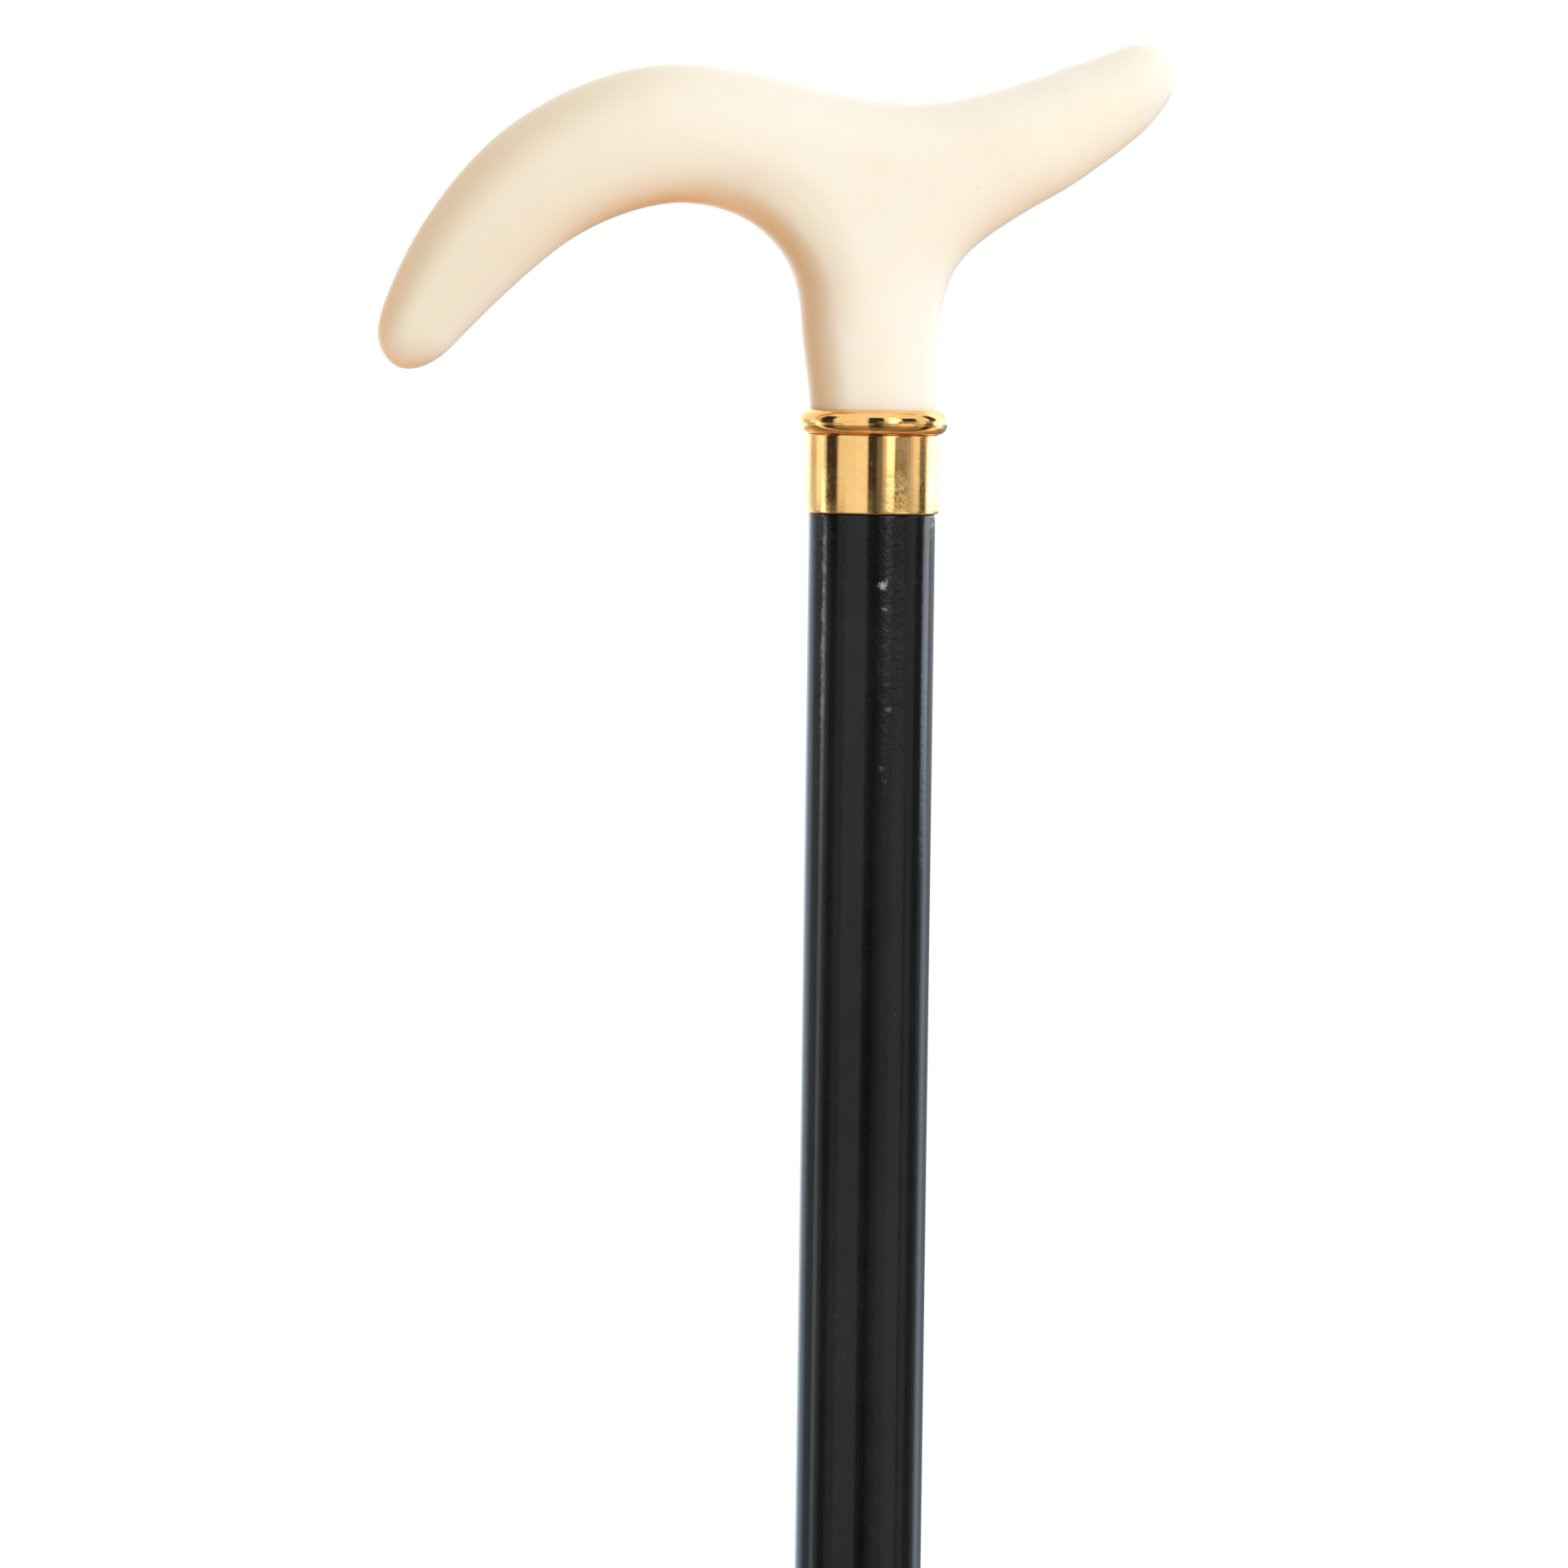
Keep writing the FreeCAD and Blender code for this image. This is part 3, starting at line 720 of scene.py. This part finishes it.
# Painted shade: tan inside the crook where the surface faces in and down, with a weaker ring of it round the
# arch
inside = spread(tree, towards(tree, facing, INTO_CROOK), 0.3, 0.97)
side_on = add(tree, "VectorMath", {0: place, 1: SEEN_FROM_SIDE}, operation="MULTIPLY").outputs[0]
from_crook = apart(tree, side_on, CROOK_MIDDLE)
ringed = product(tree, spread(tree, from_crook, *HAZE_R, HAZE, 0.0), spread(tree, along_x, *HAZE_X))
inside = product(tree, maths(tree, "MAXIMUM", inside, ringed), maths(tree, "SUBTRACT", 1.0, shaded_nose))
tint = blend_colours(tree, inside, tint, CROOK_SHADE)
# Painted light: the side facing towards the tail is coloured paler, as if lit from the right
painted_light_side = spread(tree, towards(tree, facing, TAILWARDS), 0.1, 0.7, 0.0, 0.7)
tint = blend_colours(tree, painted_light_side, tint, TAIL_SIDE_LIGHT)
# Painted shade: a warm amber darkening along the narrow edges and the underside, where the handle turns from
# the light, lessened on the nose, in the crook and towards the tail
sideways = maths(tree, "ABSOLUTE", axes(tree, facing)["Y"])
edge_shading = product(tree, maths(tree, "MULTIPLY_ADD", sideways, -1.8, 1.6, clamp=True),
                spread(tree, towards(tree, facing, UNDERSIDE), -0.3, 0.68),
                layered(tree, 1.0, (shaded_nose, -0.42)), spread(tree, along_x, *TAIL_X, 1.0, 0.5),
                layered(tree, 1.0, (inside, -0.55)), layered(tree, 0.62, (clouds, 0.3)))
tint = blend_colours(tree, edge_shading, tint, EDGE_SHADE)
tint = blend_colours(tree, motes, tint, MOTE)
paint(tree, shader, tint, layered(tree, 0.31, (clouds, 0.07), (lines, 0.12)))
buffed = noise(tree, place, 45.0, 1.0)
bump(tree, shader, layered(tree, buffed, (lines, -0.02)), 0.12 * MM)
wear(handle, ivory)

# %% [markdown]
# Gilding is thin and soft. It mirrors its surroundings in deep yellow, with a haze where fingers
# have dulled it, scuffs in patches, and darker points where the brass shows through.

# %% Gilt brass
GILT, GILT_PALE, BARE = (0.95, 0.555, 0.19, 1), (0.975, 0.63, 0.255, 1), (0.42, 0.235, 0.085, 1)
gilt, tree, shader, place = new_finish("gilt_brass", 0.1, Metallic=1.0)
clouds = place_group(tree, soft_clouds, place, Patches_per_metre=210.0, Softness=0.14)
pits = place_group(tree, dust, place, Cells_per_metre=900.0, Speck=0.16, Amount=0.6)
lines = place_group(tree, hairlines, place, Lines_per_metre=5000.0, Cut=0.65, Amount=0.8)
rings = place_group(tree, lathe_rings, place, Rings_per_metre=5200.0)
tint = blend_colours(tree, clouds, GILT, GILT_PALE)
tint = blend_colours(tree, pits, tint, BARE)
rub_patch = noise(tree, place, 120.0, 1.0)
grit = noise(tree, place, 1500.0, 3.0)
scuffs = product(tree, spread(tree, rub_patch, 0.47, 0.66), spread(tree, grit, 0.38, 0.7))
haze = layered(tree, 0.035, (clouds, 0.035), (scuffs, 0.09), (lines, 0.06), (pits, 0.3))
paint(tree, shader, tint, haze)
uneven = noise(tree, place, 330.0, 2.0)
bump(tree, shader, layered(tree, uneven, (rings, 0.05), (scuffs, 0.3), (pits, -0.6)), 0.005 * MM)
wear(bead, gilt)
wear(sleeve, gilt)

# %% [markdown]
# Black lacquer is flowed on in coats and rubbed between them. It mirrors, with the slight swell that
# painters call orange peel, a few hairlines along the stick, and dust that settled while it dried.
# Five larger nibs below the collar are humps, each with a pale glint painted on it. A nib's height
# and its painted glint fall to nothing with the distance from its middle, and a noise jitters that
# distance, so its edge is ragged. The lacquer pooled and crinkled beside them, and a painted
# highlight line runs down on the left, broken in places.

# %% Black lacquer
# Each nib is its middle in millimetres, its reach, and the share of painted glint it carries, which also sets
# its height
NIBS = (((2.0, -9.8, 829.6), 0.9, 0.8), ((2.25, -9.74, 825.6), 0.7, 0.3), ((3.0, -9.54, 810.1), 0.5, 0.22),
        ((2.1, -9.78, 800.9), 0.5, 0.14), ((2.75, -9.61, 798.9), 0.42, 0.12))
LACQUER, LACQUER_WARM, LINT = (0.0042, 0.0042, 0.0042, 1), (0.0085, 0.0082, 0.008, 1), (0.33, 0.34, 0.35, 1)
# The pale bluish colour is a painted glint on the nibs, and the warm grey one a painted highlight line
NIB_GLINT, LEFT_HIGHLIGHT = (0.42, 0.50, 0.53, 1), (0.40, 0.36, 0.31, 1)
GREY, RAGGED_BY = (MIDDLE_GREY,) * 3, (2.4 * MM, 0, 1.8 * MM)
HIGHLIGHT_X, HIGHLIGHT_REACH, HIGHLIGHT_SHARE = 7.45 * MM, (0.1 * MM, 0.5 * MM), 0.27
HIGHLIGHT_Y, HIGHLIGHT_Z = (0.0, -3 * MM), (803 * MM, 812 * MM)
POOL_LEFT, POOL_RIGHT, POOL_Z = (-1 * MM, 1.5 * MM), (4 * MM, 7 * MM), (778 * MM, 806 * MM)
lacquer, tree, shader, place = new_finish("black_lacquer", 0.08, IOR=1.5, Specular_IOR_Level=0.28)
clouds = place_group(tree, soft_clouds, place, Patches_per_metre=55.0, Softness=0.2)
motes = place_group(tree, dust, place, Cells_per_metre=330.0, Speck=0.045, Amount=0.55)
lines = place_group(tree, hairlines, place, Lines_per_metre=3600.0, Cut=0.68, Amount=0.7)
tint = blend_colours(tree, clouds, LACQUER, LACQUER_WARM)
tint = blend_colours(tree, product(tree, lines, 0.02), tint, LINT)
tint = blend_colours(tree, motes, tint, LINT)
jitter = add(tree, "TexNoise", {"Vector": place, "Scale": 1300.0, "Detail": 2.0}).outputs["Color"]
jitter = add(tree, "VectorMath", {0: jitter, 1: GREY}, operation="SUBTRACT").outputs[0]
ragged = add(tree, "VectorMath", {0: jitter, 1: RAGGED_BY, 2: place}, operation="MULTIPLY_ADD").outputs[0]
# Painted glint: each nib's mask also mixes a pale bluish colour into the black, as a small highlight
nib_and_glint = 0.0
for middle, reach, glint_share in NIBS:
    away = apart(tree, ragged, tuple(v * MM for v in middle))
    nib_and_glint = maths(tree, "ADD", nib_and_glint, spread(tree, away, 0.0, reach * MM, glint_share, 0.0))
tint = blend_colours(tree, nib_and_glint, tint, NIB_GLINT)
where = axes(tree, place)
# Painted highlight: a narrow, broken pale line down the left front of the shaft below the collar, where a
# reflection runs
beside = maths(tree, "ABSOLUTE", maths(tree, "ADD", where["X"], HIGHLIGHT_X))
skips = noise(tree, place, 850.0, 3.0, 0.6)
left_highlight = product(tree, spread(tree, beside, *HIGHLIGHT_REACH, HIGHLIGHT_SHARE, 0.0), spread(tree, where["Y"], *HIGHLIGHT_Y),
                 spread(tree, where["Z"], *HIGHLIGHT_Z), spread(tree, skips, 0.44, 0.6))
tint = blend_colours(tree, left_highlight, tint, LEFT_HIGHLIGHT)
paint(tree, shader, tint, layered(tree, 0.06, (clouds, 0.04), (lines, 0.05), (motes, 0.5)))
peel = noise(tree, place, 480.0, 1.0)
crinkle = noise(tree, place, 950.0, 3.0, 0.6)
pooled = product(tree, spread(tree, where["X"], *POOL_LEFT), spread(tree, where["X"], *POOL_RIGHT, 1.0, 0.0))
pooled = product(tree, maths(tree, "MULTIPLY_ADD", pooled, 3.0, 1.0),
                 spread(tree, where["Z"], *POOL_Z, 0.12, 1.0))
bump(tree, shader, layered(tree, peel, (motes, 0.6), (crinkle, pooled), (nib_and_glint, 5.0)), 0.012 * MM)
wear(shaft, lacquer)

# %% [markdown]
# Moulded rubber is dull and nearly black. A used one has a grey bloom, dust in its grooves and
# scuffs on the sole, and its skin is finely pebbled from the mould.

# %% Ferrule rubber
RUBBER, BLOOM, GROUND = (0.014, 0.0137, 0.0133, 1), (0.03, 0.0293, 0.0283, 1), (0.15, 0.135, 0.115, 1)
SCUFFED_TO = 3.5 * MM
rubber, tree, shader, place = new_finish("ferrule_rubber", 0.62, IOR=1.5, Specular_IOR_Level=0.32)
clouds = place_group(tree, soft_clouds, place, Patches_per_metre=85.0, Softness=0.2)
motes = place_group(tree, dust, place, Cells_per_metre=600.0, Speck=0.12, Amount=0.5)
tint = blend_colours(tree, clouds, RUBBER, BLOOM)
scuffed = product(tree, spread(tree, axes(tree, place)["Z"], 0.0, SCUFFED_TO, 0.75, 0.0), clouds)
tint = blend_colours(tree, scuffed, tint, GROUND)
tint = blend_colours(tree, motes, tint, GROUND)
paint(tree, shader, tint, layered(tree, 0.54, (clouds, 0.16)))
pebbles = noise(tree, place, 2600.0, 2.0)
bump(tree, shader, pebbles, 0.04 * MM)
wear(ferrule, rubber)

# %% [markdown]
# Four pieces stay hidden in the finished stick: two brass bushes, the steel stud between them and
# the washer in the ferrule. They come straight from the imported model, and they get their metals
# here, so that they look right wherever the stick is taken apart.

# %% Hidden metals
def turned_metal(name, light, dark, roughness, rings_per_metre):
    """A plain machined metal: tool rings, dulled patches and a few hairlines."""
    metal, tree, shader, place = new_finish(name, roughness, Metallic=1.0)
    clouds = place_group(tree, soft_clouds, place, Patches_per_metre=260.0, Softness=0.2)
    lines = place_group(tree, hairlines, place, Lines_per_metre=4200.0, Cut=0.66, Amount=0.6)
    rings = place_group(tree, lathe_rings, place, Rings_per_metre=rings_per_metre)
    haze = layered(tree, roughness, (clouds, 0.14), (lines, 0.1))
    paint(tree, shader, blend_colours(tree, clouds, light, dark), haze)
    bump(tree, shader, rings, 0.02 * MM)
    return metal


turned_brass = turned_metal("turned_brass", (0.80, 0.56, 0.24, 1), (0.62, 0.40, 0.16, 1), 0.24, 3200.0)
stud_steel = turned_metal("stud_steel", (0.62, 0.63, 0.66, 1), (0.48, 0.49, 0.53, 1), 0.26, 1600.0)
washer_steel = turned_metal("washer_steel", (0.56, 0.57, 0.58, 1), (0.42, 0.42, 0.43, 1), 0.34, 2400.0)
for node, metal in (("handle_bush", turned_brass), ("shaft_bush", turned_brass),
                    ("joint_stud", stud_steel), ("ferrule_washer", washer_steel)):
    wear(bpy.data.objects[node], metal)

# %% [markdown]
# The floor is a wide pale disc. Near the stick it is a real surface that holds the shadow, and
# further out it turns into plain white for the camera and for mirrors, so no edge shows against
# the white world behind it.

# %% Floor
FLOOR_R, FLOOR_DROP, FLOOR_SEGMENTS = 3.0, 0.2 * MM, 96
FADE_FROM, FADE_TO = 0.5, 1.4
FLOOR_GREY, WHITE = (0.86, 0.855, 0.845, 1), (1, 1, 1, 1)


def seen_rays(tree):
    """One for rays that the camera sends out, straight, mirrored or let through, and else nothing."""
    rays = add(tree, "LightPath").outputs
    bent = maths(tree, "MAXIMUM", rays["Is Glossy Ray"], rays["Is Transmission Ray"])
    return maths(tree, "MAXIMUM", rays["Is Camera Ray"], bent)


radii = np.array([FLOOR_R, 2.2, 1.5, 1.0, 0.6, 0.3, 0.1, 0.0])
floor_profile = np.stack([radii, np.full(len(radii), -FLOOR_DROP)], axis=-1)
floor = mesh_from_grids("floor", [(lathe(floor_profile, FLOOR_SEGMENTS), True)])
if floor.data.polygons[0].normal.z < 0:
    floor.data.flip_normals()
floor.visible_diffuse = False
material, tree, shader, place = new_finish("pale_floor", 0.7, Base_Color=FLOOR_GREY, Specular_IOR_Level=0.2)
far = spread(tree, from_axis(tree, axes(tree, place)), FADE_FROM, FADE_TO)
white = add(tree, "Emission", {"Color": WHITE, "Strength": 1.0})
mixed = add(tree, "MixShader", {0: product(tree, seen_rays(tree), far),
                                1: shader.outputs[0], 2: white.outputs[0]})
tree.links.new(mixed.outputs[0], tree.nodes["Material Output"].inputs["Surface"])
wear(floor, material)

# %% [markdown]
# Polished metal and lacquer show little of themselves and much of the room, so a product studio
# stands white and black cards round them. Here the cards are one ring of upright strips, each with
# its own glow, which changes with the height. Only mirror rays see the ring: it neither lights the
# stick nor shades it.

# %% Cards
# Each strip is an angle from the camera's side round to the right, to an angle, and a glow
card_rows = {
    "collar": [
        (-180, -146, 1.8), (-130, -118, 0.7), (-108, -96, 1.3), (-84, -66, 0.04), (-59, -30, 0.93),
        (-28, -10, 1.0), (-6, 5, 0.04), (11, 15, 0.22), (23, 24, 0.9), (26, 35, 2.5), (41, 54, 0.35),
        (66, 67, 0.42), (72, 74, 0.68), (79, 88, 0.98), (92, 102, 0.3), (108, 109, 0.8),
        (116, 138, 3.2), (146, 180, 1.9)],
    "shaft": [
        (-180, -150, 2.4), (-138, -130, 1.5), (-118, -100, 0.6), (-96, -91, 3.7), (-86, -83, 0.8),
        (-76, -67, 0.22), (-60, -50, 0.6), (-44, -10, 1.0), (-5, -2, 0.3), (4, 12, 0.1), (19, 19, 0.25),
        (30, 38, 0.65), (46, 60, 0.95), (66, 84, 0.6), (91, 103, 0.12), (107, 108, 0.5), (112, 126, 3.6),
        (134, 146, 0.8), (156, 162, 0.6), (172, 180, 0.4)],
    "lower": [
        (-180, -150, 2.4), (-138, -130, 1.5), (-118, -101, 0.65), (-97, -92, 2.0), (-87, -84, 0.75),
        (-77, -67, 0.2), (-60, -50, 0.6), (-44, -10, 0.93), (-5, -2, 0.2), (4, 9, 0.05), (17, 20, 0.35),
        (30, 38, 0.7), (46, 62, 0.95), (66, 68, 0.9), (71, 72, 0.4), (76, 84, 0.65), (91, 104, 0.2),
        (111, 114, 0.5), (124, 132, 1.8), (141, 142, 0.8), (150, 152, 0.46), (164, 180, 0.32)],
    "above": [
        (-180, -150, 1.4), (-130, -95, 1.05), (-88, -66, 0.03), (-60, -10, 1.0), (-5, 16, 0.04),
        (20, 24, 1.05), (29, 41, 2.3), (48, 69, 0.05), (76, 95, 1.0), (101, 114, 0.05),
        (120, 138, 1.75), (146, 180, 1.3)],
}
turns = np.arange(-180, 180, 1.0)


def glow_round(rows):
    """The glow at every degree, straight between the strips."""
    stops = np.array([angle for row in rows for angle in row[:2]])
    return np.interp(turns, stops, np.array([row[2] for row in rows for _ in range(2)]))


def between(low, high):
    """Which degrees lie between two angles."""
    return (turns > low) & (turns < high)


# Five more rows come from these: foot is a dimmed collar, high and top close the gaps above, and low
# and deep are the shaft's strips paled, with the widest gaps kept dark in deep
glow = {row: glow_round(strips) for row, strips in card_rows.items()}
foot = np.where(between(23, 37), 0.45 * glow["collar"], glow["collar"])
foot = np.where(between(38, 62), 0.15, foot)
glow["foot"] = np.where(between(91, 105), 0.05, foot)
glow["high"] = np.where(between(41, 76), 1.0, glow["above"])
glow["top"] = np.ones(len(turns))
glow["low"] = 0.5 + 0.5 * glow["shaft"]
gaps = between(-6, 17) | between(-88, -66) | between(89, 102)
glow["deep"] = np.where(gaps, 0.08, 0.25 + 0.75 * glow["shaft"])

# Each level is a radius, a height, a share and the row it shows. The upper ones show it in full.
CARD_R = 1.2
card_levels = [
    (0.06, 0.02, 1.0, "low"), (0.15, 0.025, 0.7, "low"), (0.3, 0.03, 0.42, "low"), (0.6, 0.04, 0.3, "low"),
    (1.05, 0.06, 0.36, "low"), (CARD_R, 0.13, 0.5, "deep"), (CARD_R, 0.42, 0.46, "deep"),
]
for row, bottom, top in (("lower", 0.56, 0.735), ("shaft", 0.775, 0.8165), ("foot", 0.8195, 0.8255),
                         ("collar", 0.831, 0.93), ("above", 0.98, 1.5), ("high", 1.58, 1.75),
                         ("top", 1.95, 2.6)):
    card_levels += [(CARD_R, bottom, 1.0, row), (CARD_R, top, 1.0, row)]

# The cards are white, the lowest ones earthy, and the shaft's turn cool towards the back
CARD_WHITE, CARD_COOL, CARD_EARTH = np.array([(1.0, 0.995, 0.985), (0.82, 0.94, 1.05), (1.0, 0.74, 0.50)])
COOL_FROM, COOL_OVER = 85, 30
cool = np.clip((np.abs(turns) - COOL_FROM) / COOL_OVER, 0, 1)[:, None]
card_tone = dict.fromkeys(glow, CARD_WHITE)
card_tone["deep"] = card_tone["low"] = CARD_EARTH
card_tone["shaft"] = card_tone["lower"] = CARD_WHITE + cool * (CARD_COOL - CARD_WHITE)
direction = np.stack([np.sin(np.radians(turns)), -np.cos(np.radians(turns))], axis=-1)
ring = np.stack([np.hstack([direction * radius, np.full((len(turns), 1), height)])
                 for radius, height, _, _ in card_levels])
shine = np.stack([share * glow[row][:, None] * card_tone[row] for _, _, share, row in card_levels])
mesh = bpy.data.meshes.new("cards")
mesh.from_pydata(ring.reshape(-1, 3).tolist(), [], grid_faces(*ring.shape[:2], 0, True).tolist())
tone = mesh.attributes.new("glow", "FLOAT_VECTOR", "POINT")
tone.data.foreach_set("vector", shine.ravel().astype(np.float32))
cards = bpy.data.objects.new("cards", mesh)
bpy.context.collection.objects.link(cards)
cards.visible_camera = cards.visible_diffuse = cards.visible_shadow = False
cards.visible_transmission = cards.visible_volume_scatter = False
material = bpy.data.materials.new("card_glow")
material.use_nodes = True
tree = material.node_tree
tree.nodes.remove(tree.nodes["Principled BSDF"])
level = add(tree, "Attribute", attribute_name="glow").outputs["Vector"]
light = add(tree, "Emission", {"Color": level, "Strength": 1.0})
tree.links.new(light.outputs[0], tree.nodes["Material Output"].inputs["Surface"])
wear(cards, material)
print("cards", len(card_levels), "levels of", len(turns), "degrees")

# %% [markdown]
# There are three soft lamps: a key from the upper right in front, a rim light from behind on the
# right, and a weak fill from low in front. Mirror rays don't see them, because the cards already
# give the metal what it mirrors.

# %% Lamps
AIM = Vector((-0.0132, 0, 0.7979))


def lamp(name, place, size, watts, colour=(1, 1, 1)):
    """A square lamp that looks at the collar."""
    data = bpy.data.lights.new(name, "AREA")
    data.size, data.energy, data.color = size, watts, colour
    made = bpy.data.objects.new(name, data)
    made.location = place
    made.rotation_euler = (AIM - Vector(place)).to_track_quat("-Z", "Y").to_euler()
    made.visible_camera = made.visible_glossy = False
    bpy.context.collection.objects.link(made)


lamp("key", (1.3, -1.5, 1.9), 0.45, 14.7, (0.965, 0.98, 1.0))
lamp("rim", (1.6, 1.2, 1.5), 0.9, 5.0, (0.95, 0.98, 1.0))
lamp("fill", (0.25, -2.2, 0.12), 0.9, 3.0)

# %% [markdown]
# The world is white where the camera and mirrors look at it. As light it is even all round, as in a
# light tent. Only from below, a little behind and to the left, is it warm and slightly brighter, as
# where a wooden floor throws light back.

# %% World
SKY, LOW_WARM = (0.80, 0.808, 0.82, 1), (1.0, 0.885, 0.76, 1)
WARM_SIDE = (-0.15, 0.3, -0.94)
world = bpy.data.worlds.new("studio")
bpy.context.scene.world = world
world.use_nodes = True
tree = world.node_tree
backdrop = tree.nodes["Background"]
heading = add(tree, "TexCoord").outputs["Generated"]
warm = spread(tree, towards(tree, heading, WARM_SIDE), -0.05, 0.6)
ambient = blend_colours(tree, warm, SKY, LOW_WARM)
tree.links.new(blend_colours(tree, seen_rays(tree), ambient, WHITE), backdrop.inputs["Color"])
backdrop.inputs["Strength"].default_value = 1.0

# %% [markdown]
# The photograph was taken from far away, almost level with the collar, with the stick leaning a
# little to the right in the picture. A long lens at nearly three metres gives the same view.

# %% Camera
DISTANCE, ELEVATION, LEAN = 2.741, math.radians(2.0), math.radians(0.78)
FOCAL, SENSOR, NEAREST, FARTHEST = 400.0, 36.0, 0.05, 60.0
lens = bpy.data.cameras.new("camera")
lens.lens, lens.sensor_width = FOCAL, SENSOR
lens.clip_start, lens.clip_end = NEAREST, FARTHEST
camera = bpy.data.objects.new("camera", lens)
bpy.context.collection.objects.link(camera)
camera.location = AIM + Vector((0, -math.cos(ELEVATION), math.sin(ELEVATION))) * DISTANCE
look = (AIM - camera.location).to_track_quat("-Z", "Y").to_matrix()
camera.rotation_euler = (look @ Matrix.Rotation(LEAN, 3, "Z")).to_euler()
scene = bpy.context.scene
scene.camera = camera
scene.view_settings.view_transform = "Standard"
